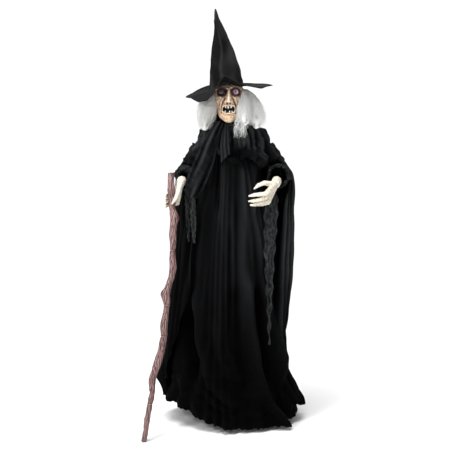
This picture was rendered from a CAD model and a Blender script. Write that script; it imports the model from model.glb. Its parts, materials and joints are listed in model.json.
"""Looks for the animated witch figure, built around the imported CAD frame.

Every length is in metres, apart from some tables, which are turned from millimetres to metres where they
are used: those inside metres(...), LOCKS, FRONT_FOLDS, the gauze routes, and the heights in HEM, CAPE_EDGE
and BRIM_EDGE.  The figure faces -y, and its left side is at +x.
"""

import json
import math

import bmesh
import bpy
import numpy as np
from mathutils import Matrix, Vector


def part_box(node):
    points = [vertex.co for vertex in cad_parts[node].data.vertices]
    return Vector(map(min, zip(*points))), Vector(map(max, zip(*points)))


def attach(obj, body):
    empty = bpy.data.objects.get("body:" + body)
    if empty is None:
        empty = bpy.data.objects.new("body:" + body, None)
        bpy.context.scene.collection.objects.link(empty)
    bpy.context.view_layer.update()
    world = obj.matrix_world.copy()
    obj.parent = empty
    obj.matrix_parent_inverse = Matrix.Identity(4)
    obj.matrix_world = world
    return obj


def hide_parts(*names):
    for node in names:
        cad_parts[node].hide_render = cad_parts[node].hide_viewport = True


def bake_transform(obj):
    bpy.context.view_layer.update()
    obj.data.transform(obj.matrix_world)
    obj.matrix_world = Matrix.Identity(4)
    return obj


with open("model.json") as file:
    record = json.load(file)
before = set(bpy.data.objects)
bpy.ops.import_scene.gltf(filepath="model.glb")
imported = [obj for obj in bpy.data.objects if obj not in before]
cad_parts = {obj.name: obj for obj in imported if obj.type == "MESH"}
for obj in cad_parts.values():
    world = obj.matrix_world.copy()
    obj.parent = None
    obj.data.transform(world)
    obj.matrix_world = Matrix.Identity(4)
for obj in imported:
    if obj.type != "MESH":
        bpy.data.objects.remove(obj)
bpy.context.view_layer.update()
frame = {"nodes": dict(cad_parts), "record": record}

FULL_TURN = 2 * math.pi
FRONT = -math.pi / 2
NECK_X = -0.02
HEAD_Y = -0.13


# ---- numbers ----


def smooth_step(value, low, high):
    """0 below low, 1 above high, and a smooth rise between."""
    share = np.clip((value - low) / (high - low), 0, 1)
    return share * share * (3 - 2 * share)


def bump(distance, width):
    """A rounded ridge of height 1 around distance 0."""
    return np.exp(-((distance / width) ** 2))


def wrapped(angle):
    """The angle brought into -pi to pi."""
    return (angle + math.pi) % FULL_TURN - math.pi


def full_circle(count):
    """The angles of equal steps round a full turn."""
    return np.arange(count) * FULL_TURN / count


def unit(vectors):
    """The vectors scaled to length 1."""
    return vectors / np.linalg.norm(vectors, axis=-1, keepdims=True)


def metres(rows):
    """Rows of millimetres turned to metres."""
    return [tuple(value / 1000 for value in row) for row in rows]


def curve_of(table, softness=0.06):
    """A smooth curve through rows of (place, value, ...), as a function of place."""
    table = np.array(sorted(table), float)
    low, high = table[0, 0], table[-1, 0]
    places = np.linspace(low, high, 400)
    window = np.hanning(max(3, int(400 * softness) * 2 + 1))
    window /= window.sum()
    half = len(window) // 2
    lines = []
    for column in table[:, 1:].T:
        values = np.interp(places, table[:, 0], column)
        first, last = values[1] - values[0], values[-1] - values[-2]
        before = values[0] - first * np.arange(half, 0, -1)
        after = values[-1] + last * np.arange(1, half + 1)
        lines.append(np.convolve(np.concatenate([before, values, after]), window, "valid"))
    return lambda place: [np.interp(place, places, line) for line in lines]


def route_curve(places, route, softness):
    """A smooth path through a route's rows, which lie at those places, as a function of place."""
    curve = curve_of([(place, *row) for place, row in zip(places, route)], softness)
    return lambda along: np.stack(curve(along), -1)


def edge_curve(table, softness):
    """The height of an edge as a function of angle; the table's rows are (degrees, millimetres)."""
    return curve_of([(math.radians(angle), height / 1000) for angle, height in table], softness)


class Ripple:
    """Seeded smooth noise, a sum of sine waves; its value lies mostly between -1 and 1."""

    def __init__(self, seed, wavelength, waves=18, stretch=(1, 1, 1)):
        draw = np.random.default_rng(seed)
        direction = unit(draw.normal(size=(waves, 3)))
        pitch = FULL_TURN / (wavelength * draw.uniform(0.6, 1.7, waves))
        self.vectors = direction * pitch[:, None] / np.array(stretch)
        self.phases = draw.uniform(0, FULL_TURN, waves)
        self.scale = math.sqrt(2 / waves)

    def __call__(self, points):
        total = 0
        for vector, phase in zip(self.vectors, self.phases):
            total = total + np.sin(points @ vector + phase)
        return total * self.scale


# ---- meshes ----


def add_mesh(name, points, faces, material):
    """A smooth-shaded mesh object in the row frame."""
    mesh = bpy.data.meshes.new(name)
    mesh.from_pydata(np.asarray(points).reshape(-1, 3).tolist(), [], np.asarray(faces).tolist())
    mesh.shade_smooth()
    mesh.materials.append(material)
    piece = bpy.data.objects.new(name, mesh)
    bpy.context.scene.collection.objects.link(piece)
    return piece


def grid_faces(rows, columns, closed):
    """Quads of a grid whose rows run downwards, facing out where its columns turn anticlockwise."""
    row = np.arange(rows - 1)[:, None]
    column = np.arange(columns if closed else columns - 1)[None, :]
    following = (column + 1) % columns
    corners = [
        row * columns + column,
        (row + 1) * columns + column,
        (row + 1) * columns + following,
        row * columns + following,
    ]
    return np.stack(np.broadcast_arrays(*corners), -1).reshape(-1, 4)


def set_attribute(piece, name, values):
    """Stores one number or one vector per point, for the materials."""
    values = np.asarray(values, np.float32)
    kind, field = ("FLOAT", "value") if values.ndim == 1 else ("FLOAT_VECTOR", "vector")
    attribute = piece.data.attributes.new(name, kind, "POINT")
    attribute.data.foreach_set(field, values.ravel())


def set_weave(piece, points):
    """Stores how far each point of a grid lies along and down the cloth."""
    across = np.linalg.norm(np.diff(points, axis=1), axis=2).mean(axis=0)
    down = np.linalg.norm(np.diff(points, axis=0), axis=2).mean(axis=1)
    across = np.concatenate([[0], np.cumsum(across)])
    down = np.concatenate([[0], np.cumsum(down)])
    grid = np.stack([*np.meshgrid(across, down), np.zeros(points.shape[:2])], -1)
    set_attribute(piece, "weave", grid.reshape(-1, 3))


def add_sheet(name, points, material, closed=False, wear=0.4, flat=False):
    """A cloth piece from a grid of points, one row after another; wear is how faded it is at each.

    The weave follows the rows and columns, or the ground plan if flat is true.
    """
    piece = add_mesh(name, points, grid_faces(*points.shape[:2], closed), material)
    if flat:
        set_attribute(piece, "weave", (points * (1, 1, 0)).reshape(-1, 3))
    else:
        set_weave(piece, points)
    set_attribute(piece, "wear", np.clip(wear + np.zeros(points.shape[:2]), 0, 1).ravel())
    return piece


def apply_modifiers(piece):
    """Bakes the piece's modifiers into its mesh."""
    bpy.context.view_layer.update()
    shown = piece.evaluated_get(bpy.context.evaluated_depsgraph_get())
    mesh = bpy.data.meshes.new_from_object(shown)
    piece.modifiers.clear()
    piece.data = mesh
    mesh.shade_smooth()


def mesh_points(piece):
    """The points and the normals of a mesh."""
    count = len(piece.data.vertices)
    points, normals = np.zeros(count * 3), np.zeros(count * 3)
    piece.data.vertices.foreach_get("co", points)
    piece.data.vertices.foreach_get("normal", normals)
    return points.reshape(-1, 3), normals.reshape(-1, 3)


def move_points(piece, points):
    """Puts a mesh's points in new places."""
    piece.data.vertices.foreach_set("co", points.ravel())
    piece.data.update()


def set_hollows(piece, full, rounds=2):
    """Stores 0 on open faces, 0.5 on flat ones and 1 in hollows, from the mesh's own curvature."""
    points, normals = mesh_points(piece)
    edges = np.zeros(len(piece.data.edges) * 2, int)
    piece.data.edges.foreach_get("vertices", edges)
    first, last = edges.reshape(-1, 2).T
    count = np.bincount(np.concatenate([first, last]), minlength=len(points))

    def around(values):
        total = np.bincount(first, values[last], len(points))
        total = total + np.bincount(last, values[first], len(points))
        return total / np.maximum(count, 1)

    middle = np.stack([around(column) for column in points.T], 1)
    hollow = ((middle - points) * normals).sum(1) / full
    for _ in range(rounds):
        hollow = (hollow + around(hollow)) / 2
    set_attribute(piece, "hollow", np.clip(0.5 + hollow / 2, 0, 1))


def tube_points(path, radii, sides, flat=1.0):
    """Rings around a path, with one radius per row; flat squeezes each ring's second direction."""
    path = np.asarray(path, float)
    forward = unit(np.gradient(path, axis=0))
    reference = np.array([1.0, 0.0, 0.0])
    side = unit(reference - forward * (forward @ reference)[:, None])
    other = np.cross(forward, side)
    angles = full_circle(sides)
    radii = np.asarray(radii, float)[:, None]
    across = (np.cos(angles)[None, :] * radii)[..., None] * side[:, None, :]
    along = (np.sin(angles)[None, :] * radii * flat)[..., None] * other[:, None, :]
    return path[:, None, :] + across + along


def close_ends(points):
    """Adds a row shrunk to its middle at both ends of a tube's rings."""
    first = np.broadcast_to(points[0].mean(axis=0), points[0].shape)
    last = np.broadcast_to(points[-1].mean(axis=0), points[-1].shape)
    return np.concatenate([first[None], points, last[None]])


# ---- materials ----


class Shader:
    """A node material with short calls for the nodes that it needs."""

    def __init__(self, name, roughness=0.6, metallic=0.0, sheen=0.0, coat=0.0, subsurface=0.0):
        self.material = bpy.data.materials.new(name)
        self.material.use_nodes = True
        self.tree = self.material.node_tree
        self.surface = self.tree.nodes["Principled BSDF"]
        self.set("Roughness", roughness)
        self.set("Metallic", metallic)
        self.set("Sheen Weight", sheen)
        self.set("Sheen Roughness", 0.5)
        self.set("Coat Weight", coat)
        self.set("Subsurface Weight", subsurface)
        self.set("Subsurface Radius", (0.006, 0.003, 0.002))
        self.place = self.tree.nodes.new("ShaderNodeTexCoord").outputs["Object"]
        self.heights = []

    def set(self, name, value):
        """Sets one of the surface's own inputs, or links a socket to it."""
        self.put(self.surface.inputs[name], value)

    def put(self, socket, value):
        """Links a socket to the input, or sets the input to a constant."""
        if isinstance(value, bpy.types.NodeSocket):
            self.tree.links.new(value, socket)
        else:
            socket.default_value = value

    def node(self, kind, settings=None, **inputs):
        """A new node; an input's name is written with _ for a space."""
        made = self.tree.nodes.new("ShaderNode" + kind)
        for key, value in (settings or {}).items():
            setattr(made, key, value)
        for key, value in inputs.items():
            self.put(made.inputs[key.replace("_", " ")], value)
        return made

    def stretched(self, scale, source=None):
        """Coordinates multiplied along each axis."""
        mapped = self.node("Mapping", Vector=source or self.place)
        mapped.inputs["Scale"].default_value = scale
        return mapped.outputs["Vector"]

    def noise(self, scale, detail=4.0, source=None, roughness=0.55):
        vector = source or self.place
        made = self.node("TexNoise", Vector=vector, Scale=scale, Detail=detail, Roughness=roughness)
        return made.outputs["Fac"]

    def attribute(self, name, output="Fac"):
        """What is stored on the mesh's points under that name."""
        return self.node("Attribute", {"attribute_name": name}).outputs[output]

    def ramp(self, source, stops):
        """Colours by place along a ramp; each stop is (place, colour)."""
        made = self.node("ValToRGB", Fac=source)
        points = made.color_ramp.elements
        while len(points) < len(stops):
            points.new(0.5)
        for point, (place, colour) in zip(points, stops):
            point.position = place
            point.color = (*colour, 1)
        return made.outputs["Color"]

    def span(self, source, low, high, start=0.0, end=1.0):
        """The source mapped from low to high onto start to end."""
        made = self.node("MapRange", Value=source)
        for key, value in (("From Min", low), ("From Max", high), ("To Min", start), ("To Max", end)):
            made.inputs[key].default_value = value
        return made.outputs["Result"]

    def blend(self, share, first, second):
        """The first colour where share is 0 and the second where it is 1."""
        made = self.node("Mix", {"data_type": "RGBA"})
        self.put(made.inputs[0], share)
        for socket, colour in ((made.inputs[6], first), (made.inputs[7], second)):
            self.put(socket, (*colour, 1) if isinstance(colour, tuple) else colour)
        return made.outputs[2]

    def math(self, operation, first, second):
        """A sum, product or comparison of two values."""
        made = self.node("Math", {"operation": operation})
        self.put(made.inputs[0], first)
        self.put(made.inputs[1], second)
        return made.outputs[0]

    def mean(self, first, second, share=0.5):
        """The weighted mean of two values; share is the first one's weight."""
        first, second = self.math("MULTIPLY", first, share), self.math("MULTIPLY", second, 1 - share)
        return self.math("ADD", first, second)

    def relief(self, source, height):
        """Adds surface relief of that height in metres."""
        self.heights.append((source, height))

    def finish(self):
        """Stacks the reliefs and returns the material."""
        below = None
        for source, height in self.heights:
            made = self.node("Bump", Height=source, Distance=height, Strength=1.0)
            if below is not None:
                self.put(made.inputs["Normal"], below)
            below = made.outputs["Normal"]
        if below is not None:
            self.set("Normal", below)
        return self.material


def cloth_material(name, deep, dark, light, thread):
    """Woven cloth: crossed threads, slubs, slow colour change, fine crinkles and faded ridges.

    Deep is the colour where the cloth isn't worn, and thread is the distance between threads.
    """
    shader = Shader(name, roughness=0.88, sheen=0.004)
    shader.set("Sheen Tint", (0.75, 0.77, 0.82, 1))
    shader.set("Specular IOR Level", 0.02)
    weave = shader.attribute("weave", "Vector")
    warp, weft = (
        shader.node("TexWave", {"bands_direction": axis}, Vector=weave, Scale=0.5 / thread, Distortion=0.6)
        for axis in "XY"
    )
    threads = shader.math("MULTIPLY", warp.outputs["Fac"], weft.outputs["Fac"])
    slubs = shader.noise(40, source=shader.stretched((9, 1, 1), weave))
    patches = shader.noise(7, detail=6)
    tone = shader.mean(patches, slubs, 0.6)
    faded = shader.ramp(tone, [(0.3, dark), (0.72, light)])
    woven = shader.blend(shader.math("MULTIPLY", threads, 0.35), faded, light)
    shader.set("Base Color", shader.blend(shader.attribute("wear"), deep, woven))
    shader.set("Roughness", shader.span(patches, 0.3, 0.7, 0.8, 0.95))
    shader.relief(threads, thread * 0.25)
    shader.relief(slubs, thread * 0.3)
    shader.relief(shader.noise(90, detail=3), 0.0006)
    return shader.finish()


def gauze_material():
    """Crinkled open-weave gauze."""
    shader = Shader("gauze_cloth", roughness=0.9, sheen=0.05)
    shader.set("Specular IOR Level", 0.1)
    weave = shader.attribute("weave", "Vector")
    crumple = shader.noise(120, detail=6, source=shader.stretched((1, 0.35, 1), weave))
    net = shader.node("TexVoronoi", {"feature": "DISTANCE_TO_EDGE"}, Vector=weave, Scale=260.0)
    holes = shader.span(net.outputs["Distance"], 0.0, 0.12)
    base = shader.ramp(crumple, [(0.38, (0.004, 0.0045, 0.005)), (0.68, (0.06, 0.064, 0.066))])
    shader.set("Base Color", shader.blend(shader.math("MULTIPLY", holes, 0.55), base, (0.003, 0.003, 0.0035)))
    shader.relief(crumple, 0.004)
    shader.relief(holes, -0.0006)
    return shader.finish()


def skin_material():
    """Painted rubber mask: flesh tones, dark paint in the hollows, and red to black where painted."""
    shader = Shader("mask_skin", roughness=0.45, subsurface=0.08, coat=0.1)
    hollow = shader.attribute("hollow")
    paint = shader.attribute("paint")
    patches = shader.noise(55, detail=5)
    tones = [(0.3, (0.52, 0.3, 0.17)), (0.55, (0.72, 0.5, 0.32)), (0.75, (0.82, 0.64, 0.45))]
    flesh = shader.ramp(patches, tones)
    grime = shader.span(hollow, 0.49, 0.66)
    aged = shader.blend(grime, flesh, (0.085, 0.018, 0.01))
    bright = shader.blend(shader.span(hollow, 0.49, 0.34), aged, (0.97, 0.88, 0.73))
    red = shader.blend(shader.span(paint, 0.0, 0.5), bright, (0.16, 0.03, 0.018))
    shader.set("Base Color", shader.blend(shader.span(paint, 0.5, 1.0), red, (0.0015, 0.0008, 0.0008)))
    pores = shader.node("TexVoronoi", Vector=shader.place, Scale=420.0).outputs["Distance"]
    shader.relief(pores, 0.0006)
    shader.relief(shader.noise(160, detail=6), 0.0012)
    shader.set("Roughness", shader.span(patches, 0.3, 0.7, 0.38, 0.6))
    return shader.finish()


def bone_material():
    """Ivory painted plastic hands with tan paint in the creases."""
    shader = Shader("hand_plastic", roughness=0.5, subsurface=0.1)
    hollow = shader.attribute("hollow")
    patches = shader.noise(38, detail=6)
    tones = [(0.3, (0.6, 0.54, 0.42)), (0.55, (0.76, 0.72, 0.61)), (0.8, (0.83, 0.81, 0.73))]
    base = shader.ramp(patches, tones)
    lines = shader.noise(70, detail=8, source=shader.stretched((1, 1, 0.35)))
    veins = shader.span(lines, 0.6, 0.72)
    stained = shader.blend(shader.math("MULTIPLY", veins, 0.5), base, (0.42, 0.3, 0.16))
    shader.set("Base Color", shader.blend(shader.span(hollow, 0.52, 0.85), stained, (0.3, 0.19, 0.09)))
    shader.set("Roughness", shader.span(patches, 0.3, 0.7, 0.42, 0.6))
    shader.relief(lines, 0.0012)
    shader.relief(shader.noise(420, detail=3), 0.0002)
    return shader.finish()


def bark_material():
    """Moulded staff: dusty mauve-brown with dark grooves along the grain."""
    shader = Shader("staff_plastic", roughness=0.55)
    hollow = shader.attribute("hollow")
    grain = shader.noise(110, detail=8, source=shader.stretched((1, 1, 0.16)), roughness=0.65)
    patches = shader.noise(16, detail=5)
    tones = [(0.34, (0.05, 0.018, 0.018)), (0.52, (0.17, 0.082, 0.078)), (0.7, (0.31, 0.185, 0.175))]
    base = shader.ramp(grain, tones)
    tinted = shader.blend(shader.span(patches, 0.4, 0.68, 0.0, 0.45), base, (0.26, 0.14, 0.14))
    worn = shader.blend(shader.span(hollow, 0.44, 0.25, 0.0, 0.7), tinted, (0.42, 0.29, 0.27))
    shader.set("Base Color", shader.blend(shader.span(hollow, 0.54, 0.75), worn, (0.022, 0.008, 0.008)))
    shader.set("Roughness", shader.span(grain, 0.3, 0.7, 0.75, 0.5))
    shader.relief(grain, 0.003)
    return shader.finish()


def hair_material():
    """Frizzy grey-white wig hair."""
    shader = Shader("wig_hair", roughness=0.6, sheen=0.3)
    streaks = shader.noise(60, detail=6, source=shader.stretched((1, 1, 0.3)))
    tone = shader.attribute("tone")
    tones = [(0.0, (0.42, 0.42, 0.41)), (0.4, (0.88, 0.88, 0.86)), (1.0, (0.99, 0.99, 0.97))]
    base = shader.ramp(tone, tones)
    shader.set("Base Color", shader.blend(shader.span(streaks, 0.35, 0.7, 0.0, 0.4), base, (0.92, 0.92, 0.9)))
    shader.relief(shader.noise(600, detail=2, source=shader.stretched((1, 1, 0.1))), 0.0006)
    return shader.finish()


def tooth_material():
    """Stained ivory teeth."""
    shader = Shader("tooth", roughness=0.35, subsurface=0.1, coat=0.3)
    stain = shader.noise(150, detail=5)
    hollow = shader.attribute("hollow")
    base = shader.ramp(stain, [(0.3, (0.74, 0.69, 0.56)), (0.65, (0.92, 0.91, 0.86))])
    shader.set("Base Color", shader.blend(shader.span(hollow, 0.55, 0.9), base, (0.25, 0.15, 0.07)))
    shader.relief(stain, 0.0006)
    return shader.finish()


PUPIL = (0.004, 0.004, 0.005)
EYE_REACH = 0.01


def eye_material(name, centre, white, iris):
    """A glassy eye; its iris faces forward from the eye's centre, and all else is the white."""
    shader = Shader(name, roughness=0.12, coat=0.8)
    offset = shader.node("Mapping", Vector=shader.place)
    offset.inputs["Location"].default_value = (-centre[0], 0, -centre[2])
    offset.inputs["Scale"].default_value = (1, 0, 1)
    distance = shader.node("VectorMath", {"operation": "LENGTH"})
    shader.put(distance.inputs[0], offset.outputs["Vector"])
    ahead = shader.node("SeparateXYZ", Vector=shader.place).outputs["Y"]
    facing = shader.math("LESS_THAN", ahead, centre[1])
    spot = shader.span(distance.outputs["Value"], 0.0, EYE_REACH)
    rings = [(0.0, PUPIL), (0.24, PUPIL), (0.3, iris), (0.52, iris), (0.6, white)]
    veins = shader.noise(260, detail=6)
    ball = shader.ramp(veins, [(0.4, white), (0.75, (white[0], white[1] * 0.6, white[2] * 0.6))])
    front = shader.math("MULTIPLY", facing, shader.span(spot, 0.62, 0.5))
    shader.set("Base Color", shader.blend(front, ball, shader.ramp(spot, rings)))
    return shader.finish()


def part_material(name, first, second, roughness, metallic, scale, relief=0.0002, stretch=(1, 1, 1)):
    """A plain engineering finish: two close tones, uneven gloss and a fine surface grain."""
    shader = Shader(name, roughness=roughness, metallic=metallic)
    grain = shader.noise(scale, detail=6, source=shader.stretched(stretch))
    broad = shader.noise(9, detail=3)
    shader.set("Base Color", shader.ramp(shader.mean(grain, broad), [(0.35, first), (0.65, second)]))
    shader.set("Roughness", shader.span(grain, 0.3, 0.7, roughness - 0.08, min(1.0, roughness + 0.1)))
    shader.relief(grain, relief)
    return shader.finish()


def board_material():
    """Green circuit board with copper tracks."""
    shader = Shader("circuit_board", roughness=0.4)
    tracks = shader.node("TexBrick", Vector=shader.place, Scale=90.0, Mortar_Size=0.06).outputs["Fac"]
    shader.set("Base Color", shader.blend(tracks, (0.01, 0.11, 0.05), (0.05, 0.22, 0.1)))
    shader.relief(tracks, 0.0001)
    return shader.finish()


BLACK = (0.0006, 0.0006, 0.0008)
GOWN_CLOTH = cloth_material("gown_cloth", BLACK, (0.016, 0.017, 0.018), (0.032, 0.034, 0.036), 0.0011)
HAT_TONES = [(0.004, 0.004, 0.0045), (0.013, 0.013, 0.0135), (0.028, 0.028, 0.0285)]
HAT_CLOTH = cloth_material("hat_cloth", *HAT_TONES, 0.0009)
GAUZE = gauze_material()
SKIN = skin_material()
BONE = bone_material()
BARK = bark_material()
HAIR = hair_material()
TOOTH = tooth_material()

# The finish of each slot: two tones, roughness, metallic share, grain scale, then relief and stretch
FINISHES = {
    "powder_coat": ((0.012, 0.012, 0.013), (0.03, 0.03, 0.032), 0.5, 0.2, 700),
    "housing_plastic": ((0.02, 0.02, 0.022), (0.04, 0.04, 0.043), 0.55, 0, 900),
    "end_rubber": ((0.01, 0.01, 0.01), (0.022, 0.022, 0.022), 0.85, 0, 300),
    "zinc_steel": ((0.45, 0.46, 0.48), (0.66, 0.67, 0.69), 0.32, 1.0, 240),
    "motor_steel": ((0.34, 0.35, 0.36), (0.5, 0.5, 0.52), 0.35, 1.0, 160, 0.0002, (1, 1, 12)),
    "bush_nylon": ((0.62, 0.6, 0.54), (0.74, 0.72, 0.66), 0.45, 0, 200),
    "shell_plastic": ((0.05, 0.05, 0.055), (0.085, 0.085, 0.09), 0.5, 0, 400),
    "cell_wrap": ((0.02, 0.09, 0.32), (0.05, 0.16, 0.45), 0.3, 0, 40),
    "speaker_cone": ((0.03, 0.028, 0.026), (0.06, 0.056, 0.05), 0.8, 0, 500, 0.0005),
    "inlet_black": ((0.015, 0.015, 0.016), (0.03, 0.03, 0.03), 0.4, 0, 500),
    "button_red": ((0.45, 0.015, 0.012), (0.62, 0.03, 0.022), 0.35, 0, 300),
    "switch_black": ((0.012, 0.012, 0.013), (0.028, 0.028, 0.03), 0.45, 0, 600),
    "lamp": ((0.75, 0.55, 0.45), (0.9, 0.75, 0.65), 0.15, 0, 100),
}
PART_FINISHES = {slot: part_material(slot, *finish) for slot, finish in FINISHES.items()}
PART_FINISHES["board"] = board_material()


# ---- cloth ----

# Sections of hanging cloth: (height, centre x, centre y, half width, half depth)
GOWN = metres([
    (1235, -20, -80, 78, 68), (1200, -15, -62, 118, 95), (1100, -10, -55, 135, 115),
    (1000, -10, -50, 152, 126), (900, -10, -40, 180, 140), (800, -10, -35, 203, 152),
    (560, -12, -32, 226, 175), (340, -14, -32, 240, 196), (150, -10, -34, 258, 218),
    (60, -6, -35, 282, 245), (0, -6, -35, 300, 268),
])
CLOAK = metres([
    (1225, 0, -50, 140, 95), (1190, 0, -40, 178, 110), (1150, 0, -30, 222, 136),
    (1100, 2, -26, 256, 158), (1050, 5, -26, 261, 160), (970, 3, -28, 258, 162),
    (830, 0, -30, 254, 172), (560, -16, -30, 256, 195), (340, -32, -30, 260, 216),
    (240, -30, -30, 266, 226), (160, -12, -32, 282, 236), (80, 8, -34, 298, 246),
    (0, 10, -35, 298, 252),
])
# The hem's height around the gown: (degrees from the front, towards the figure's left, height)
HEM = [
    (-180, 20), (-120, 45), (-85, 90), (-62, 94), (-40, 70), (-25, 46), (-12, 26), (8, 14), (45, 14),
    (75, 30), (110, 22), (180, 20),
]


def ring_points(sections, angles, heights):
    """Points of a cloth tube and the outward direction at each."""
    x, y, half_width, half_depth = sections(heights)
    points = np.stack([x + half_width * np.cos(angles), y + half_depth * np.sin(angles), heights], -1)
    outward = np.stack([half_depth * np.cos(angles), half_width * np.sin(angles), 0 * angles], -1)
    return points, unit(outward)


def sheet_grid(rows, columns):
    """How far along the cloth each row lies, 0 to 1, and how far across each column, -1 to 1."""
    return np.linspace(0, 1, rows)[:, None], np.linspace(-1, 1, columns)[None, :]


def hanging_folds(seed, count, angles, heights):
    """Uneven folds that run down the cloth, from 0 in a groove to about 1 on a ridge."""
    place = np.stack(np.broadcast_arrays(np.cos(angles), np.sin(angles), 0.8 * heights), -1)
    warp = Ripple(seed, 1.5, stretch=(1, 1, 1.3))(place)
    strength = 0.66 + 0.34 * Ripple(seed + 1, 0.6)(place)
    wave = np.sin(count * angles + 5.0 * warp)
    broad = np.sin(0.5 * count * angles - 4.0 * warp + seed)
    fold = 0.55 * wave + 0.45 * broad
    return (0.5 + 0.5 * np.sign(fold) * np.abs(fold) ** 0.8) * strength


FOLD_STRENGTH = 1.4


def front_fold(points, route, width, height):
    """One named fold down the front; route is (height, x) along its crest."""
    z = points[..., 2]
    (crest,) = curve_of(route, 0.04)(z)
    low, high = min(route)[0], max(route)[0]
    length = smooth_step(z, low - 0.05, low + 0.03) * smooth_step(-z, -high - 0.04, -high + 0.06)
    facing = smooth_step(-points[..., 1], 0.05, 0.09)
    return FOLD_STRENGTH * height * bump(points[..., 0] - crest, width) * length * facing


# The named folds: (width, height out from the cloth, then (height, x) along the crest)
FRONT_FOLDS = [
    (28, 9, (1150, -35), (540, -40)), (15, 13, (1150, 38), (540, 60)), (14, 12, (1170, 86), (950, 90)),
    (14, -12, (1170, -68), (950, -66)), (15, -10, (880, -55), (540, -50)),
    (14, -10, (850, -12), (540, -8)), (12, -10, (980, 22), (560, 25)),
    (21, 34, (660, 58), (585, 64), (440, 73), (260, 97), (120, 131), (20, 210)),
    (20, -26, (600, 96), (440, 116), (260, 146), (120, 180), (60, 210)),
    (30, -12, (600, 5), (440, 18), (260, 42), (200, 50)),
    (20, 24, (560, -156), (370, -150), (295, -113), (183, -87), (110, 0)),
    (26, -50, (520, -190), (360, -190), (220, -175)), (18, 14, (460, -75), (300, -50), (200, 0)),
    (14, 12, (340, -20), (200, 35)), (24, 16, (200, -160), (100, -60)),
    (16, 18, (620, 130), (420, 160), (220, 200)),
]


def hem_height(angles):
    """The gown's hem at those angles."""
    (height,) = edge_curve(HEM, 0.03)(wrapped(angles - FRONT))
    return height


def make_gown():
    """The gathered gown, from the chest to the hem, with even folds and the named ones in front."""
    columns, rows = 384, 216
    angles = np.broadcast_to(full_circle(columns), (rows, columns))
    fall = np.linspace(0, 1, rows)[:, None] ** 1.05
    ragged = 0.004 * np.sin(angles * 31) + 0.003 * np.sin(angles * 53 + 1)
    bottom = hem_height(angles) + np.abs(ragged)
    heights = GOWN[0][0] + (bottom - GOWN[0][0]) * fall
    points, outward = ring_points(curve_of(GOWN, 0.03), angles, heights)
    facing = 0.35 + 0.65 * smooth_step(-np.sin(angles), -0.1, 0.5)
    size = 0.008 + 0.024 * smooth_step(-heights, -1.1, -0.25)
    folds = hanging_folds(3, 22, angles, heights)
    named = 0
    for width, height, *route in FRONT_FOLDS:
        named = named + front_fold(points, metres(route), width / 1000, height / 1000)
    push = folds * size * facing + named
    wrinkles = Ripple(11, 0.05, stretch=(1, 1, 2.5))(points)
    creases = Ripple(12, 0.085, stretch=(1.5, 1.5, 0.8))(points)
    low = smooth_step(-heights, -0.42, -0.12)
    push = push + (0.0018 + 0.0016 * low) * wrinkles * facing + 0.0095 * np.abs(creases) * low
    push = push * smooth_step(-heights, -1.235, -1.19)
    points = points + outward * push[..., None]
    wear = (0.03 + 0.4 * smooth_step(heights, 0.12, 1.1)) * (0.2 + 0.9 * folds + 18 * named)
    gown = add_sheet("gown", points, GOWN_CLOTH, closed=True, wear=wear)
    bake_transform(gown)
    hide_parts("gown_skirt", "gown_bodice")


# The cloak's two front edges, in degrees from the front: (height, figure's right, figure's left)
CLOAK_EDGES = [
    (1.225, -58, 58), (1.15, -64, 66), (1.085, -84, 80), (1.03, -66, 66), (0.97, -48, 58),
    (0.8, -42, 54), (0.56, -40, 52), (0.44, -46, 52), (0.3, -56, 54), (0.18, -66, 58), (0.0, -74, 60),
]


def make_cloak():
    """The open cloak, with its folds, ruffled foot and torn points."""
    columns, rows = 320, 210
    across = np.linspace(0, 1, columns)[None, :]
    fall = np.linspace(0, 1, rows)[:, None]
    # The front edges are placed by a rough height first, because the rows follow the hem.
    rough = CLOAK[0][0] * (1 - fall)
    right, left = (np.radians(edge) for edge in curve_of(CLOAK_EDGES, 0.03)(rough))
    angles = FRONT + left + (FULL_TURN + right - left) * across
    ragged = 0.014 * np.abs(np.sin(angles * 9.5)) + 0.006 * np.abs(np.sin(angles * 23 + 1))
    turn = wrapped(angles - FRONT)
    torn = 0.05 * bump(turn - 1.25, 0.25) + 0.07 * bump(turn + 1.3, 0.05)
    torn = torn + 0.05 * bump(turn + 1.62, 0.04)
    bottom = hem_height(angles) + 0.008 + ragged + torn
    heights = CLOAK[0][0] + (bottom - CLOAK[0][0]) * fall
    points, outward = ring_points(curve_of(CLOAK, 0.025), angles, heights)
    size = 0.008 + 0.02 * smooth_step(-heights, -1.15, -0.35)
    folds = hanging_folds(5, 34, angles, heights)
    push = folds * size + 0.0012 * Ripple(21, 0.045, stretch=(1, 1, 3))(points)
    ruffle = smooth_step(-heights, -0.26, -0.03)
    push = push + ruffle * 0.015 * np.sin(angles * 24 + 2 * np.sin(angles * 5))
    push = push - 0.008 * smooth_step(-heights, -0.06, 0.0)
    push = push + 0.04 * bump(turn + 1.46, 0.055) * bump(heights - 0.2, 0.05)
    points = points + outward * push[..., None]
    faded = 0.12 + 0.6 * smooth_step(heights, 0.1, 0.8)
    shaded = 1 - 0.88 * bump(turn + 0.95, 0.42)
    wear = faded * (1.6 * np.maximum(folds, 0) ** 1.8) * shaded
    cloak = add_sheet("cloak", points, GOWN_CLOTH, wear=wear)
    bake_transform(cloak)
    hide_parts("cloak_skirt")


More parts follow.
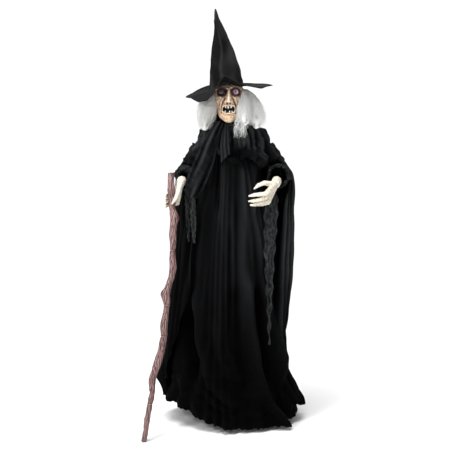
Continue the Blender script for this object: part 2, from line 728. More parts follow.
# The cape's profile: (share of the way out, centre x, centre y, half width, half depth, height)
CAPE = [
    (0.0, -0.02, -0.12, 0.082, 0.088, 1.35), (0.1, -0.02, -0.118, 0.068, 0.074, 1.312),
    (0.16, -0.018, -0.105, 0.088, 0.085, 1.306), (0.28, -0.006, -0.07, 0.138, 0.112, 1.288),
    (0.45, -0.002, -0.058, 0.154, 0.13, 1.24), (0.64, 0.0, -0.05, 0.165, 0.146, 1.192),
    (0.78, 0.002, -0.046, 0.178, 0.16, 1.162), (0.88, 0.002, -0.046, 0.184, 0.166, 1.146),
    (0.95, 0.002, -0.045, 0.174, 0.153, 1.14), (1.0, 0.002, -0.044, 0.158, 0.134, 1.152),
]
CAPE_HEM = 1.15
# Where the cape's lower edge hangs: (degrees from the front, towards the figure's left, height)
CAPE_EDGE = [
    (-180, 1165), (-100, 1150), (-70, 1150), (-45, 1172), (-25, 1184), (-12, 1170), (-3, 1143),
    (4, 1140), (10, 1158), (17, 1174), (24, 1164), (32, 1140), (41, 1124), (49, 1132), (58, 1152),
    (72, 1158), (100, 1152), (180, 1165),
]
# The puffed lobes of the cape's front edge: (angle from the front, half width), in radians
CAPE_LOBES = [(-0.62, 0.2), (-0.26, 0.13), (0.04, 0.13), (0.42, 0.1), (0.72, 0.17)]


def make_cape():
    """The gathered shoulder cape: a standing collar, folds that radiate from it, and a puffed edge."""
    columns, rows = 480, 150
    angles = np.broadcast_to(full_circle(columns), (rows, columns))
    out = np.broadcast_to(np.linspace(0, 1, rows)[:, None], (rows, columns))
    x, y, half_width, half_depth, height = curve_of(CAPE, 0.02)(out)
    turn = wrapped(angles - FRONT)
    (edge,) = edge_curve(CAPE_EDGE, 0.012)(turn)
    flow = np.stack([np.cos(angles), np.sin(angles), 0.8 * out], -1)
    slant = 0.5 * np.sin(2 * turn + 0.6) * out
    gathers = hanging_folds(8, 30, angles + slant, out)
    tucks = 1 - np.abs(Ripple(33, 0.3, waves=24, stretch=(1, 1, 2.4))(flow))
    front = smooth_step(-np.abs(turn), -1.25, -1.0)
    lobes = np.abs(np.sin(turn * 5.5 + 0.9 * np.sin(turn * 3 + 1))) * (1 - front)
    for place, half in CAPE_LOBES:
        lobes = lobes + bump(turn - place, half)
    spread = smooth_step(out, 0.1, 0.75)
    push = gathers * (0.006 + 0.018 * spread) + 0.0065 * tucks * (0.4 + spread)
    puff = bump(out - 0.8, 0.17)
    push = push + (0.034 * lobes - 0.008) * puff
    drop = 0.014 * lobes * (1 - front)
    collar = 1 - smooth_step(out, 0.0, 0.11)
    stand = -0.05 + 0.06 * smooth_step(np.abs(turn), 0.8, 1.45)
    height = height + (edge - CAPE_HEM - drop) * smooth_step(out, 0.35, 0.9) + stand * collar
    ring = np.stack([x + half_width * np.cos(angles), y + half_depth * np.sin(angles), height], -1)
    outward = unit(np.stack([np.cos(angles), np.sin(angles), 0.35 + 0 * angles], -1))
    push = push * (0.25 + 0.75 * smooth_step(out, 0.04, 0.16))
    push = push + (0.0026 * Ripple(31, 0.03)(ring) - 0.006 * np.abs(Ripple(35, 0.055)(ring))) * spread
    wear = 2.7 * gathers * (0.25 + 0.75 * tucks**2) * (0.25 + 0.75 * np.clip(lobes + 1 - 2 * puff, 0, 1))
    points = ring + outward * push[..., None]
    cape = add_sheet("shoulder_ruffle", points, GOWN_CLOTH, closed=True, wear=0.08 + wear)
    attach(cape, "torso")
    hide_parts("shoulder_cape")


def strip_points(route, widths, rows, columns):
    """A strip of cloth that faces forward, from the places and widths along it, and its normals."""
    along = np.linspace(0, 1, rows)
    centre = route_curve(np.linspace(0, 1, len(route)), route, 0.08)(along)
    (width,) = curve_of(list(zip(np.linspace(0, 1, len(widths)), widths)), 0.08)(along)
    forward = unit(np.gradient(centre, axis=0))
    side = unit(np.cross(forward, np.array((0.0, -1.0, 0.0))))
    normal = np.cross(side, forward)
    offset = np.linspace(-0.5, 0.5, columns)
    points = centre[:, None, :] + side[:, None, :] * (offset[None, :] * width[:, None])[..., None]
    return points, np.broadcast_to(normal[:, None, :], points.shape)


SCARF_BAND = metres([
    (-60, -190, 1305), (-82, -208, 1262), (-104, -220, 1205), (-122, -214, 1150), (-148, -192, 1090),
    (-168, -176, 1040), (-178, -164, 1010),
])
SCARF_TAIL = metres([(-30, -196, 1308), (-34, -216, 1262), (-37, -234, 1215), (-34, -240, 1160)])


def make_scarf():
    """The band that falls from the neck over the figure's right shoulder, and the short tail in front."""
    rows, columns = 150, 60
    along, across = sheet_grid(rows, columns)
    widths = (0.034, 0.056, 0.07, 0.08, 0.086, 0.08, 0.056)
    points, normal = strip_points(SCARF_BAND, widths, rows, columns)
    folds = np.sin(across * 5.5 + 2.5 * along) + 0.6 * np.sin(across * 9 - 4 * along + 1)
    push = 0.036 * np.cos(across * 1.5) + 0.0055 * folds + 0.0045 * Ripple(41, 0.035)(points)
    points = points + normal * push[..., None]
    band = add_sheet("scarf_band", points, GOWN_CLOTH, wear=0.42 + 0.26 * folds)
    rows, columns = 80, 30
    along, across = sheet_grid(rows, columns)
    points, normal = strip_points(SCARF_TAIL, (0.018, 0.03, 0.038, 0.038), rows, columns)
    folds = np.sin(across * 7 + 2 * along)
    push = 0.012 * np.cos(across * 1.5) + 0.003 * folds
    points = points + normal * push[..., None]
    points[..., 2] -= 0.018 * across * smooth_step(along, 0.6, 1.0)
    tail = add_sheet("scarf_tail", points, GOWN_CLOTH, wear=0.6 + 0.3 * folds)
    for piece, flat in ((band, (0.09, 0.33)), (tail, (0.04, 0.15))):
        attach(piece, "torso")
    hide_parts("neck_scarf")


# Each sleeve's line: shoulder, elbow, forearm and wrist, at these shares of its length
ARM_SHARES = (0, 0.42, 0.72, 1)
LEFT_ARM = metres([(145, -15, 1215), (216, -5, 1090), (204, -95, 1088), (192, -172, 1086)])
RIGHT_ARM = metres([(-145, -15, 1215), (-200, 10, 1092), (-208, -70, 1088), (-218, -136, 1078)])


def make_sleeve(side, route, sag, opening, seed):
    """A loose sleeve whose underside hangs in a lobe before the wrist."""
    rows, columns = 150, 96
    along = np.linspace(0, 1, rows)
    centre = route_curve(ARM_SHARES, route, 0.1)(along)
    widths = [(0, 0.04), (0.3, 0.042), (0.55, 0.046), (0.8, 0.046), (0.93, opening), (1, 1.06 * opening)]
    (radius,) = curve_of(widths, 0.05)(along)
    points = tube_points(centre, radius, columns)
    middle = centre[:, None, :]
    below = smooth_step(middle[..., 2] - points[..., 2], -0.01, 0.04)
    hang = bump(along - 0.78, 0.17)[:, None] * below
    inside = np.sign(-route[0][0])
    points[..., 2] -= sag * hang
    points[..., 0] += inside * 0.55 * sag * hang
    angle = full_circle(columns)
    outward = unit(points - middle)
    warp = Ripple(seed, 0.07, waves=22)(points)
    folds = 0.75 * np.sin(44 * along[:, None] + 1.8 * np.sin(angle + 1) + 2.4 * warp) + 0.35 * warp
    folds = folds * (0.5 + 0.5 * smooth_step(along, 0.46, 0.62))[:, None]
    small = Ripple(seed + 1, 0.02, waves=22)(points)
    frill = smooth_step(along[:, None], 0.9, 1.0) * 0.007 * np.sin(angle * 8 + 2 * small)
    points = points + outward * (0.0058 * folds + 0.0018 * small + frill)[..., None]
    sleeve = add_sheet(f"{side}_sleeve_cloth", points, GOWN_CLOTH, closed=True, wear=0.4 + 0.4 * folds)
    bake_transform(sleeve)
    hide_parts(f"{side}_sleeve")


def make_gauze(name, route, widths, seed, replaced=()):
    """A crinkled strip of gauze that hangs from the forearm; narrow strips crinkle less."""
    rows, columns = 240, 40
    points, normal = strip_points(metres(route), widths, rows, columns)
    along, across = sheet_grid(rows, columns)
    crumple = Ripple(seed, 0.022, waves=30, stretch=(1, 1, 1.6))(points)
    size = widths[1] / 0.06
    push = size * (0.006 * np.cos(across * 2.4 + 3 * np.sin(along * 7)) + 0.0042 * crumple)
    points = points + normal * push[..., None]
    points[..., 0] += 0.003 * size * np.sin(along * 60 + across) * np.abs(across)
    gauze = add_sheet(name, points, GAUZE)
    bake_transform(gauze)
    if replaced:
        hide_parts(*replaced)


# ---- hands and staff ----


def limb_mesh(name, chains, voxel, material):
    """Joins chains of (x, y, z, radius) into one smooth skin."""
    points, faces = [], []
    made = bmesh.new()
    bmesh.ops.create_icosphere(made, subdivisions=2, radius=1)
    ball = np.array([v.co for v in made.verts])
    sides = np.array([[v.index for v in f.verts] for f in made.faces])
    made.free()
    for chain in chains:
        for start, end in zip(chain, chain[1:]):
            start, end = np.array(start), np.array(end)
            gap = 0.22 * min(start[3], end[3])
            steps = max(2, int(np.linalg.norm(end[:3] - start[:3]) / gap))
            for share in np.linspace(0, 1, steps):
                place = start + (end - start) * share
                faces.append(sides + len(points) * len(ball))
                points.append(ball * place[3] + place[:3])
    piece = add_mesh(name, np.concatenate(points), np.concatenate(faces), material)
    remesh = piece.modifiers.new("skin", "REMESH")
    remesh.mode = "VOXEL"
    remesh.voxel_size = voxel
    soften = piece.modifiers.new("soften", "SMOOTH")
    soften.factor = 0.5
    soften.iterations = 6
    apply_modifiers(piece)
    return piece


LEFT_WRIST = metres([(186, -178, 1064, 21), (180, -211, 1052, 20)])
LEFT_FINGERS = [
    metres([(134, -262, 1009), (106, -272, 1008), (85, -271, 1005), (66, -264, 1001)]),
    metres([(134, -255, 993), (106, -265, 984), (85, -263, 980), (65, -256, 979)]),
    metres([(138, -243, 979), (110, -248, 968), (90, -245, 963), (73, -238, 962)]),
    metres([(147, -224, 973), (126, -214, 966), (111, -206, 963), (99, -200, 963)]),
]
LEFT_THUMB = metres([(166, -240, 1050), (130, -257, 1056), (105, -261, 1046), (88, -259, 1032)])
RIGHT_WRIST = metres([(-224, -134, 1064.5, 21), (-227, -163, 1054, 20)])
RIGHT_KNUCKLES = metres([(-244, -175, 1018), (-243, -176, 1001), (-242, -177, 984), (-241, -178, 968)])
RIGHT_FINGERS = [
    [
        knuckle,
        (-0.263, -0.186, knuckle[2] - 0.004),
        (-0.287, -0.199, knuckle[2] - 0.01),
        (-0.29, -0.221, knuckle[2] - 0.016),
    ]
    for knuckle in RIGHT_KNUCKLES
]
RIGHT_THUMB = metres([(-233, -185, 1035), (-237, -215, 1010), (-245, -234, 988), (-258, -242, 970)])
FINGER_RADII = (0.0092, 0.0078, 0.0066, 0.0036)
THUMB_RADII = (0.0125, 0.0098, 0.0078, 0.004)


def make_hand(name, wrist, fingers, thumb, body, replaced):
    """A bony hand: knuckled fingers, a webbed palm and tendons over its back."""
    palm = wrist[1]
    chains = [wrist]
    for joints in fingers:
        chains.append([(*palm[:3], 0.014), (*joints[0], 0.0105)])
        chains.append([(*place, radius * 1.08) for place, radius in zip(joints, FINGER_RADII)])
    for first, second in zip(fingers, fingers[1:]):
        middle = np.mean([first[0], second[0], palm[:3]], axis=0)
        chains.append([(*palm[:3], 0.015), (*middle, 0.01)])
    web = np.mean([thumb[0], fingers[0][0]], axis=0)
    chains.append([(*palm[:3], 0.016), (*thumb[0], 0.0135), (*web, 0.008)])
    chains.append([(*place, radius) for place, radius in zip(thumb, THUMB_RADII)])
    hand = limb_mesh(name, chains, 0.0016, BONE)
    points, normals = mesh_points(hand)
    joints = [place for chain in (*fingers, thumb) for place in chain[1:3]]
    swell = sum(bump(np.linalg.norm(points - np.array(place), axis=1), 0.0085) for place in joints)
    ridges = Ripple(61, 0.007)(points)
    push = 0.001 * swell * (1 + 0.5 * ridges) + 0.0004 * ridges
    move_points(hand, points + normals * push[:, None])
    set_hollows(hand, 0.00012)
    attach(hand, body)
    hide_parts(replaced)


# The staff's line from the top down: (x, y, z, radius)
STAFF = metres([
    (-265, -190, 1096, 14), (-264, -207, 1018, 14.5), (-261, -220, 954, 14), (-251, -231, 907, 16),
    (-257, -245, 839, 14), (-256, -259, 772, 13.5), (-256, -272, 714, 14.5), (-258, -281, 672, 15),
    (-273, -291, 627, 14.5), (-281, -298, 590, 15.5), (-279, -308, 545, 14), (-288, -323, 476, 14.5),
    (-291, -336, 418, 13.5), (-301, -349, 356, 15), (-320, -362, 296, 15.5), (-336, -372, 249, 15),
    (-335, -383, 198, 13), (-345, -393, 151, 12.5), (-354, -406, 89, 12), (-367, -424, 11, 10.5),
    (-368.5, -425.5, 1.5, 9.5),
])
# Knots on the staff: (height, angle around it in degrees, length, how far it stands out)
KNOTS = [
    (1.03, -60, 0.012, 0.006), (0.905, 20, 0.016, 0.006), (0.59, 190, 0.018, 0.008),
    (0.205, 120, 0.012, 0.005), (1.024, 150, 0.01, 0.004), (0.7, -40, 0.012, 0.004),
    (0.36, -80, 0.012, 0.004),
]
STAFF_JOINTS = (0.771, 0.417)
STAFF_SEAMS = (0.545, 0.148)


def make_staff():
    """The moulded branch, with bark ridges, knots and the joints between its three lengths."""
    rows, sides = 640, 72
    down = -np.array([place[2] for place in STAFF])
    heights = np.linspace(STAFF[0][2], STAFF[-1][2], rows)
    x, y, radius = curve_of([(d, p[0], p[1], p[3]) for d, p in zip(down, STAFF)], 0.012)(-heights)
    path = np.stack([x, y, heights], -1)
    points = tube_points(path, radius, sides)
    outward = unit(points - path[:, None, :])
    angle = full_circle(sides)
    grain = Ripple(71, 0.012, waves=26, stretch=(1, 1, 5))(points)
    lumps = Ripple(72, 0.045, stretch=(1, 1, 1.2))(points)
    cracks = np.abs(Ripple(73, 0.01, waves=24, stretch=(1, 1, 7))(points))
    push = 0.0007 * grain - 0.0012 * cracks + 0.0013 * lumps
    for height, turn, length, out in KNOTS:
        near = bump(heights[:, None] - height, length) * bump(wrapped(angle - math.radians(turn)), 0.8)
        push = push + out * near
    for height in STAFF_JOINTS:
        above = heights[:, None] - height
        push = push - 0.003 * bump(above, 0.0016) + 0.0008 * bump(above, 0.012)
    for height in STAFF_SEAMS:
        push = push - 0.0014 * bump(heights[:, None] - height, 0.0018)
    points = close_ends(points + outward * push[..., None])
    staff = add_mesh("branch_staff", points, grid_faces(*points.shape[:2], True), BARK)
    set_hollows(staff, 0.00022, rounds=1)
    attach(staff, "right_arm")
    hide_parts("staff_upper", "staff_middle", "staff_lower")


# ---- head ----


# The mask's bare shape: (height, centre x, centre y, half width, half depth)
FACE = metres([
    (1311, -20, -203, 6, 8), (1315, -20, -203, 16, 18), (1321, -20, -196, 24, 28),
    (1335, -20, -177, 39, 50), (1355, -20, -157, 50, 68), (1375, -20, -143, 57, 82),
    (1410, -20, -137, 64, 91), (1440, -20, -135, 67, 92), (1459, -20, -134, 65, 87),
    (1475, -20, -130, 54, 70),
])
EYE_X = 0.029
EYE_HEIGHT = 1.44
SOCKET_RADIUS = 0.0155
MOUTH_HEIGHT = 1.367
NOSTRIL_X = 0.0065
NOSTRIL_HEIGHT = 1.3905
MASK_HALF_ANGLE = math.radians(112)
SMILE_LINE = [(0.016, 1.412), (0.03, 1.384), (0.032, 1.352)]
CHEEK_LINE = [(0.04, 1.4), (0.042, 1.352)]


def crease(x, z, route, width):
    """A fold along a route of (x, z) points: 1 on the line, 0 away from it."""
    distance = np.full(x.shape, 1.0)
    for (x0, z0), (x1, z1) in zip(route, route[1:]):
        dx, dz = x1 - x0, z1 - z0
        share = np.clip(((x - x0) * dx + (z - z0) * dz) / (dx * dx + dz * dz), 0, 1)
        distance = np.minimum(distance, np.hypot(x - x0 - share * dx, z - z0 - share * dz))
    return bump(distance, width)


def make_face():
    """The rubber mask: brow, sunken eyes, hooked nose, folds, open mouth and jutting chin."""
    rows, columns = 300, 300
    angles = FRONT + np.linspace(-1, 1, columns)[None, :] * MASK_HALF_ANGLE
    heights = np.linspace(FACE[-1][0], FACE[0][0], rows)[:, None]
    angles, heights = np.broadcast_arrays(angles, heights)
    points, outward = ring_points(curve_of(FACE, 0.02), angles, heights)
    x, z = points[..., 0] - NECK_X, heights
    side = np.abs(x)
    front = smooth_step(-points[..., 1], 0.125, 0.15)
    out = np.zeros(x.shape)
    eye = np.hypot(x - np.sign(x) * EYE_X, (z - EYE_HEIGHT) * 1.1)
    out += 0.0065 * crease(side, z, [(0.006, 1.455), (0.026, 1.464), (0.05, 1.452)], 0.009)
    out -= 0.019 * bump(eye, SOCKET_RADIUS)
    out += 0.0045 * bump(eye - SOCKET_RADIUS, 0.0035) * smooth_step(EYE_HEIGHT - z, -0.02, 0.01)
    out += 0.009 * crease(side, z, [(0.036, 1.418), (0.052, 1.41)], 0.014)
    out -= 0.01 * crease(side, z, [(0.045, 1.385), (0.046, 1.36)], 0.012)
    length = np.clip((1.452 - z) / 0.052, 0, 1)
    tip_fall = 1 - smooth_step(1.4 - z, 0.0, 0.012)
    nose_width = 0.0065 + 0.006 * length
    ridge = 0.008 + 0.03 * length**1.15 + 0.004 * bump(z - 1.437, 0.008)
    out += ridge * np.exp(-np.abs(x / nose_width) ** 2.2) * tip_fall * smooth_step(1.462 - z, 0.0, 0.012)
    out += 0.012 * bump(side - 0.0125, 0.0055) * bump(z - 1.4, 0.009)
    out += 0.007 * bump(np.hypot(x, z - 1.406), 0.009)
    out -= 0.008 * bump(side - NOSTRIL_X, 0.003) * bump(z - NOSTRIL_HEIGHT, 0.0035)
    for route in (SMILE_LINE, CHEEK_LINE):
        out -= 0.006 * crease(side, z, route, 0.0035)
        out += 0.005 * crease(side, z, [(a + 0.007, b) for a, b in route], 0.005)
    for height in (1.46, 1.466):
        out -= 0.0018 * crease(side, z + 0.02 * side, [(0.0, height), (0.045, height)], 0.0018)
    out -= 0.0028 * crease(side, z, [(0.005, 1.45), (0.007, 1.466)], 0.0016)
    for lift in (0.0, 0.005, 0.01):
        out -= 0.002 * crease(side, z, [(0.044, 1.434 - lift), (0.06, 1.43 - 1.6 * lift)], 0.0014)
        bag = [(0.016, 1.425 - lift), (0.03, 1.419 - lift), (0.044, 1.424 - lift)]
        out -= 0.0018 * crease(side, z, bag, 0.0014)
    mouth = (np.abs(x) / 0.0265) ** 2.3 + (np.abs(z - MOUTH_HEIGHT) / 0.016) ** 2.3
    lips = bump(np.sqrt(mouth) - 1.18, 0.16)
    out += 0.005 * lips
    inside = 1 - smooth_step(mouth, 0.8, 1.02)
    out += 0.011 * bump(np.hypot(x, (z - 1.327) * 0.9), 0.016)
    out -= 0.003 * crease(side, z, [(0.0, 1.343), (0.018, 1.341)], 0.003)
    out += 0.0012 * Ripple(81, 0.016)(points) + 0.0006 * Ripple(82, 0.007)(points)
    wart = bump(np.hypot(x - 0.033, z - 1.392), 0.0035) + bump(np.hypot(x + 0.012, z - 1.335), 0.003)
    out += 0.0035 * wart
    forward = unit(np.stack([0.15 * outward[..., 0], -1 + 0 * x, 0 * x], -1))
    points = points + forward * (out * front)[..., None]
    points[..., 1] += 0.03 * inside * front
    points[..., 2] -= 0.007 * np.exp(-np.abs(x / 0.012) ** 2) * bump(z - 1.404, 0.012)
    face = add_mesh("witch_mask", points, grid_faces(rows, columns, False), SKIN)
    set_hollows(face, 0.0003)
    socket = (0.76 + 0.16 * (x < 0)) * smooth_step(0.0275 - eye, 0.0, 0.0095)
    lines = 0.32 * crease(side, z, SMILE_LINE, 0.0035)
    brows = 0.8 * crease(side, z, [(0.008, 1.446), (0.024, 1.456), (0.046, 1.448)], 0.0038)
    nostril = bump(side - NOSTRIL_X, 0.0035) * bump(z - NOSTRIL_HEIGHT, 0.004)
    paint = np.clip(np.maximum.reduce([socket, lines, brows, 1.05 * inside, nostril]), 0, 1)
    set_attribute(face, "paint", paint.ravel())
    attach(face, "head")
    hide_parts("face_mask")


# Stub teeth: (x from the middle, root height, length, half width); the lower ones point up
TEETH = [
    (-0.013, 1.381, -0.01, 0.0034),
    (-0.003, 1.382, -0.0125, 0.0042),
    (0.011, 1.381, -0.0095, 0.0036),
    (-0.015, 1.3545, 0.0075, 0.003),
    (0.003, 1.353, 0.0085, 0.0032),
    (0.0145, 1.3545, 0.0065, 0.0028),
]
TOOTH_Y = -0.2135


def make_teeth():
    """Uneven stub teeth behind the mask's lips."""
    rows, sides = 16, 20
    along = np.linspace(0, 1, rows)
    points, faces = [], []
    for index, (x, root, length, half) in enumerate(TEETH):
        width = half * np.sqrt(np.clip(1 - along**3.2, 0.02, 1)) * (1 - 0.15 * along)
        lean = 0.0015 * math.sin(index * 2.1)
        path = np.stack([NECK_X + x + lean * along, TOOTH_Y - 0.002 * along, root + length * along], -1)
        ring = close_ends(tube_points(path, width, sides, flat=0.62))
        faces.append(grid_faces(*ring.shape[:2], True) + len(points) * ring.shape[0] * sides)
        points.append(ring.reshape(-1, 3))
    piece = add_mesh("stub_teeth", np.concatenate(points), np.concatenate(faces), TOOTH)
    set_hollows(piece, 0.0003)
    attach(piece, "head")
    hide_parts("teeth")


# Locks of hair: (strands, then (x, y, z, spread) from the scalp to the ends)
LOCKS = [
    (620, (-83, -152, 1442, 9), (-96, -170, 1422, 22), (-108, -178, 1370, 36), (-118, -172, 1324, 36),
        (-122, -162, 1292, 26)),
    (420, (-82, -122, 1440, 10), (-100, -126, 1410, 28), (-112, -130, 1360, 36), (-114, -128, 1305, 32)),
    (420, (-74, -86, 1458, 12), (-102, -82, 1410, 36), (-116, -80, 1350, 40), (-112, -75, 1300, 30)),
    (620, (-46, -60, 1464, 18), (-60, -30, 1420, 46), (-62, -6, 1360, 48), (-60, 0, 1292, 44)),
    (620, (6, -60, 1466, 18), (24, -30, 1420, 46), (34, -6, 1360, 48), (34, 0, 1292, 44)),
    (420, (34, -86, 1457, 10), (66, -82, 1418, 34), (88, -80, 1360, 40), (92, -75, 1305, 34)),
    (420, (44, -122, 1454, 10), (68, -126, 1424, 26), (86, -130, 1365, 36), (96, -128, 1308, 32)),
    (700, (46, -152, 1456, 9), (62, -170, 1430, 22), (76, -182, 1385, 36), (92, -182, 1340, 42),
        (104, -172, 1306, 34)),
    (560, (42, -172, 1450, 6), (51, -199, 1426, 12), (49, -216, 1388, 20), (43, -224, 1350, 28),
        (49, -220, 1318, 31)),
    (70, (40, -206, 1345, 22), (34, -212, 1310, 25), (30, -214, 1280, 26), (30, -218, 1250, 24)),
]


# A lock with no more strands than this is a wisp, with no body of hair under it.
WISP_STRANDS = 200
STRAND_STEPS = 16


def make_hair():
    """Wavy strands in locks, over a soft body of hair that fills between them."""
    draw = np.random.default_rng(91)
    steps = STRAND_STEPS
    along = np.linspace(0, 1, steps)
    chains, rings, tones = [], [], []
    for count, *guide in LOCKS:
        guide = metres(guide)
        if count > WISP_STRANDS:
            chains.append([(*row[:3], 0.5 * row[3]) for row in guide])
        x, y, z, spread = route_curve(np.linspace(0, 1, len(guide)), guide, 0.12)(along).T
        for _ in range(count):
            reach = draw.uniform(0.3, 1.2) ** 0.7
            turn = draw.uniform(0, FULL_TURN)
            twist = draw.normal(0, 0.9)
            wave = draw.uniform(0.002, 0.0065)
            pace, phase = draw.uniform(9, 24), draw.uniform(0, FULL_TURN)
            end = draw.uniform(0.72, 1.08)
            angle = turn + twist * along
            path = np.stack(
                [
                    x + reach * spread * np.cos(angle) + wave * np.sin(along * pace + phase),
                    y + reach * spread * np.sin(angle) + wave * np.cos(along * pace * 0.8 + phase),
                    z[0] + (z - z[0]) * end + 0.3 * wave * np.sin(along * pace * 1.3),
                ],
                -1,
            )
            radius = draw.uniform(0.00045, 0.0009) * np.sqrt(np.clip(1.02 - along, 0.05, 1))
            rings.append(tube_points(path, radius, 3))
            tones.append(np.full(steps * 3, draw.uniform(0.1, 1.0)))
    faces = grid_faces(steps, 3, True)
    faces = np.concatenate([faces + index * steps * 3 for index in range(len(rings))])
    strands = add_mesh("wig_strands", np.concatenate(rings), faces, HAIR)
    set_attribute(strands, "tone", np.concatenate(tones))
    mass = limb_mesh("wig_body", chains, 0.0035, HAIR)
    points, normals = mesh_points(mass)
    curl = Ripple(92, 0.016, waves=26, stretch=(1, 1, 3.5))(points)
    curl = curl + 0.5 * Ripple(93, 0.007, stretch=(1, 1, 3))(points)
    move_points(mass, points + normals * (0.0024 * curl)[:, None])
    set_attribute(mass, "tone", np.clip(0.42 + 0.3 * curl, 0, 1))
    for piece in (strands, mass):
        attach(piece, "head")
    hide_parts("wig")


HAT_X = NECK_X - 0.01
HAT_BASE = 1.462
HAT_ROLL = math.radians(7.5)
HAT_PITCH = math.radians(5)
HAT_HEIGHT = 0.339
BRIM_RADIUS = 0.186
# The point's half width and half depth by share of its height
HAT_WIDTHS = [
    (0.0, 0.0775, 0.0975), (0.1, 0.072, 0.089), (0.25, 0.0665, 0.079), (0.39, 0.0575, 0.0665),
    (0.55, 0.043, 0.048), (0.69, 0.029, 0.0315), (0.86, 0.0125, 0.0135), (1.0, 0.003, 0.003),
]
BRIM_SHIFT = 0.012
# The front of the hat is pinched up over the forehead; the seam is behind.
HAT_PINCH = math.radians(-97)
PINCH_HEIGHT = 0.03
HAT_SEAM = math.radians(95)
WIRE_RADIUS = 0.0022
# The brim's edge: (degrees from the figure's left, towards its back, height)
BRIM_EDGE = [
    (-180, 1424), (-150, 1416), (-134, 1394), (-120, 1397), (-111, 1424), (-105, 1456), (-99, 1492),
    (-95, 1498), (-88, 1486), (-78, 1468), (-68, 1457), (-44, 1452), (-34, 1461), (0, 1477), (60, 1501),
    (90, 1503), (120, 1490), (150, 1450), (180, 1424),
]


def hat_pinch(angles):
    """How strongly the pinch lifts the hat at those angles, 0 to 1."""
    return bump(wrapped(angles - HAT_PINCH), 0.55)


def hat_axes():
    """The directions to the hat's own left, back and top."""
    up = Vector((-math.tan(HAT_ROLL), -math.tan(HAT_PITCH), 1)).normalized()
    across = Vector((1, 0, math.tan(HAT_ROLL))).normalized()
    return np.array(across), np.array(up.cross(across)), np.array(up)


def make_hat_point():
    """The bent cone of the hat, pinched up over the forehead, with a crease in front and a seam behind."""
    across, behind, up = hat_axes()
    origin = np.array((HAT_X, HEAD_Y, HAT_BASE))
    rows, columns = 170, 200
    share = np.linspace(1, 0, rows)[:, None]
    angles = full_circle(columns)
    width, depth = curve_of(HAT_WIDTHS, 0.04)(share)
    bend = 0.003 * np.sin(share * 5)
    rise = HAT_HEIGHT * share + PINCH_HEIGHT * hat_pinch(angles) * (1 - share) ** 3
    points = (
        origin
        + (width * np.cos(angles) + bend)[..., None] * across
        + (depth * np.sin(angles))[..., None] * behind
        + rise[..., None] * up
    )
    outward = np.cos(angles)[:, None] * across + np.sin(angles)[:, None] * behind
    dents = Ripple(101, 0.1, stretch=(1, 1, 1.3))(points)
    sharp = np.abs(Ripple(102, 0.07, stretch=(1, 1, 0.8))(points))
    fold = bump(wrapped(angles - HAT_PINCH + 0.12 * np.sin(share * 9)), 0.13)
    seam = bump(wrapped(angles - HAT_SEAM), 0.03)
    body = smooth_step(share, 0.0, 0.05) * smooth_step(-share, -1.0, -0.85)
    push = (0.0022 * dents - 0.0012 * sharp + 0.0045 * fold) * body + 0.0012 * seam
    points = points + outward * push[..., None]
    wear = 0.33 + 0.42 * dents + 0.55 * fold * body
    cone = add_sheet("hat_point", points, HAT_CLOTH, closed=True, wear=wear)
    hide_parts("hat_cone")
    return cone


def make_brim():
    """The wavy brim and the wire in its edge."""
    rows, columns = 60, 360
    out = np.linspace(0, 1, rows)[:, None]
    angles = full_circle(columns)
    inner_x, inner_y = 0.068 * np.cos(angles), 0.088 * np.sin(angles)
    outer_x, outer_y = BRIM_RADIUS * np.cos(angles) + BRIM_SHIFT, BRIM_RADIUS * np.sin(angles)
    x = HAT_X + inner_x + (outer_x - inner_x) * out
    y = HEAD_Y + inner_y + (outer_y - inner_y) * out
    flat = HAT_BASE + (x - HAT_X) * math.tan(HAT_ROLL) + (y - HEAD_Y) * math.tan(HAT_PITCH)
    flat = flat + PINCH_HEIGHT * hat_pinch(angles)
    (edge,) = edge_curve(BRIM_EDGE, 0.012)(wrapped(angles))
    z = flat + (edge - flat[-1:]) * out**1.7 + 0.0012 * np.sin(angles * 7 + 4 * out) * out
    points = np.stack([x, y, z], -1)
    brim = add_sheet("hat_rim", points[:, ::-1], HAT_CLOTH, closed=True, wear=0.3, flat=True)
    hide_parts("hat_brim")
    edge = np.concatenate([points[-1], points[-1][:1]])
    rim = tube_points(edge, np.full(columns + 1, WIRE_RADIUS), 10)
    wire = add_mesh("hat_wired_edge", rim, grid_faces(columns + 1, 10, True), HAT_CLOTH)
    set_weave(wire, rim)
    set_attribute(wire, "wear", np.full(rim.shape[0] * rim.shape[1], 0.5))
    return brim, wire


def make_hat():
    """The hat's three pieces, which ride on the head."""
    cone = make_hat_point()
    brim, wire = make_brim()
    for piece in (cone, brim, wire):
        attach(piece, "head")


def make_eyes():
    """The CAD eyeballs stay, with glassy painted irises."""
    for name, white, iris in (
        ("left_eye", (0.62, 0.58, 0.74), (0.26, 0.21, 0.38)),
        ("right_eye", (0.13, 0.125, 0.14), (0.05, 0.05, 0.06)),
    ):
        low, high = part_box(name)
        centre = [(a + b) / 2 for a, b in zip(low, high)]
        finish_node(name, eye_material(name, centre, white, iris))


# ---- CAD nodes that stay ----


def finish_node(name, material):
    """Gives one CAD node a material."""
    for slot in frame["nodes"][name].material_slots:
        slot.material = material


def finish_parts():
    """Every CAD node that stays in view gets its slot's finish."""
    for part in frame["record"]["subparts"]:
        if part["material_slot"] in PART_FINISHES:
            finish_node(part["node"], PART_FINISHES[part["material_slot"]])


# ---- stage ----


def add_light(name, place, aim, size, power):
    """A soft box of that size in metres and power in watts, aimed at a point."""
    lamp = bpy.data.lights.new(name, "AREA")
    lamp.shape = "RECTANGLE"
    lamp.size, lamp.size_y = size
    lamp.energy = power
    holder = bpy.data.objects.new(name, lamp)
    bpy.context.scene.collection.objects.link(holder)
    holder.location = place
    holder.rotation_euler = (Vector(aim) - Vector(place)).to_track_quat("-Z", "Y").to_euler()


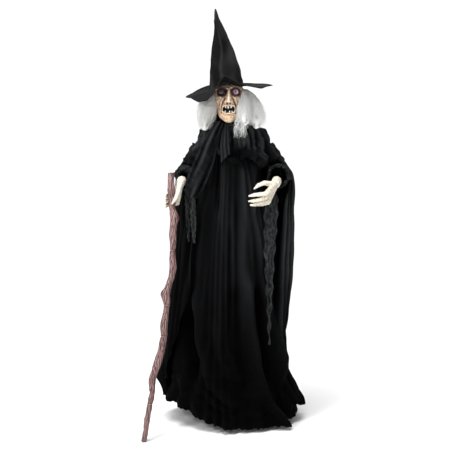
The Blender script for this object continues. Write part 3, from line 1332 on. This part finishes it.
FLOOR_RINGS = (0.001, 0.8, 1.6, 2.4)
FLOOR_SIDES = 96
CAMERA_PLACE = (-0.0358, -4.025, 1.1)
CAMERA_DIP = 3.36


def make_stage():
    """The white floor, the studio's light and the camera that matches the photograph."""
    scene = bpy.context.scene
    scene.view_settings.view_transform = "Standard"
    floor_shader = Shader("studio_floor", roughness=0.9)
    grain = floor_shader.noise(3, detail=2)
    tones = [(0.3, (0.95, 0.95, 0.95)), (0.7, (0.97, 0.97, 0.97))]
    floor_shader.set("Base Color", floor_shader.ramp(grain, tones))
    turns = full_circle(FLOOR_SIDES)
    rings = [[[r * math.cos(a), r * math.sin(a), 0.0] for a in turns] for r in FLOOR_RINGS]
    faces = grid_faces(len(FLOOR_RINGS), FLOOR_SIDES, True)
    floor = add_mesh("floor", rings, faces, floor_shader.finish())
    # The studio is white up to a little above the horizon and dimmer overhead, where the soft boxes are.
    world = bpy.data.worlds.new("studio")
    scene.world = world
    world.use_nodes = True
    tree = world.node_tree
    direction = tree.nodes.new("ShaderNodeTexCoord")
    parts = tree.nodes.new("ShaderNodeSeparateXYZ")
    fade = tree.nodes.new("ShaderNodeMapRange")
    fade.interpolation_type = "SMOOTHSTEP"
    for key, value in (("From Min", 0.26), ("From Max", 0.5), ("To Min", 1.05), ("To Max", 0.22)):
        fade.inputs[key].default_value = value
    background = tree.nodes["Background"]
    tree.links.new(direction.outputs["Generated"], parts.inputs["Vector"])
    tree.links.new(parts.outputs["Z"], fade.inputs["Value"])
    tree.links.new(fade.outputs["Result"], background.inputs["Color"])
    add_light("overhead", (-0.7, -1.0, 3.5), (0, -0.1, 1.0), (2.2, 2.2), 130)
    add_light("key", (-2.0, -3.0, 2.4), (0, 0, 1.2), (0.9, 0.9), 75)
    add_light("rear", (0.9, 2.2, 3.2), (0, 0, 1.0), (1.8, 1.8), 60)

    camera = bpy.data.objects.new("camera", bpy.data.cameras.new("camera"))
    scene.collection.objects.link(camera)
    camera.location = CAMERA_PLACE
    camera.rotation_euler = (math.radians(90 - CAMERA_DIP), 0, 0)
    camera.data.sensor_width = 36
    camera.data.lens = 71.6
    scene.camera = camera


# ---- build ----

make_stage()
finish_parts()
make_gown()
make_cloak()
make_cape()
make_scarf()
make_sleeve("left", LEFT_ARM, sag=0.015, opening=0.038, seed=51)
make_sleeve("right", RIGHT_ARM, sag=0.075, opening=0.027, seed=54)
make_gauze(
    "left_gauze",
    [
        (168, -178, 1060), (163, -185, 960), (158, -180, 820),
        (155, -188, 660), (155, -202, 500), (154, -214, 360),
    ],
    (0.03, 0.06, 0.052, 0.036, 0.017, 0.006),
    seed=111,
    replaced=["left_sleeve_drape"],
)
make_gauze(
    "right_gauze",
    [(-180, -150, 1040), (-176, -165, 960), (-172, -170, 880), (-170, -172, 795)],
    (0.024, 0.026, 0.024, 0.01),
    seed=112,
    replaced=["right_sleeve_drape"],
)
make_gauze(
    "right_gauze_back",
    [(-204, -140, 1030), (-200, -150, 950), (-196, -152, 870), (-194, -154, 800)],
    (0.016, 0.018, 0.016, 0.008),
    seed=113,
)
make_hand("left_bony_hand", LEFT_WRIST, LEFT_FINGERS, LEFT_THUMB, "left_hand_body", "left_hand")
make_hand("right_bony_hand", RIGHT_WRIST, RIGHT_FINGERS, RIGHT_THUMB, "right_arm", "right_hand")
make_staff()
make_face()
make_teeth()
make_eyes()
make_hair()
make_hat()
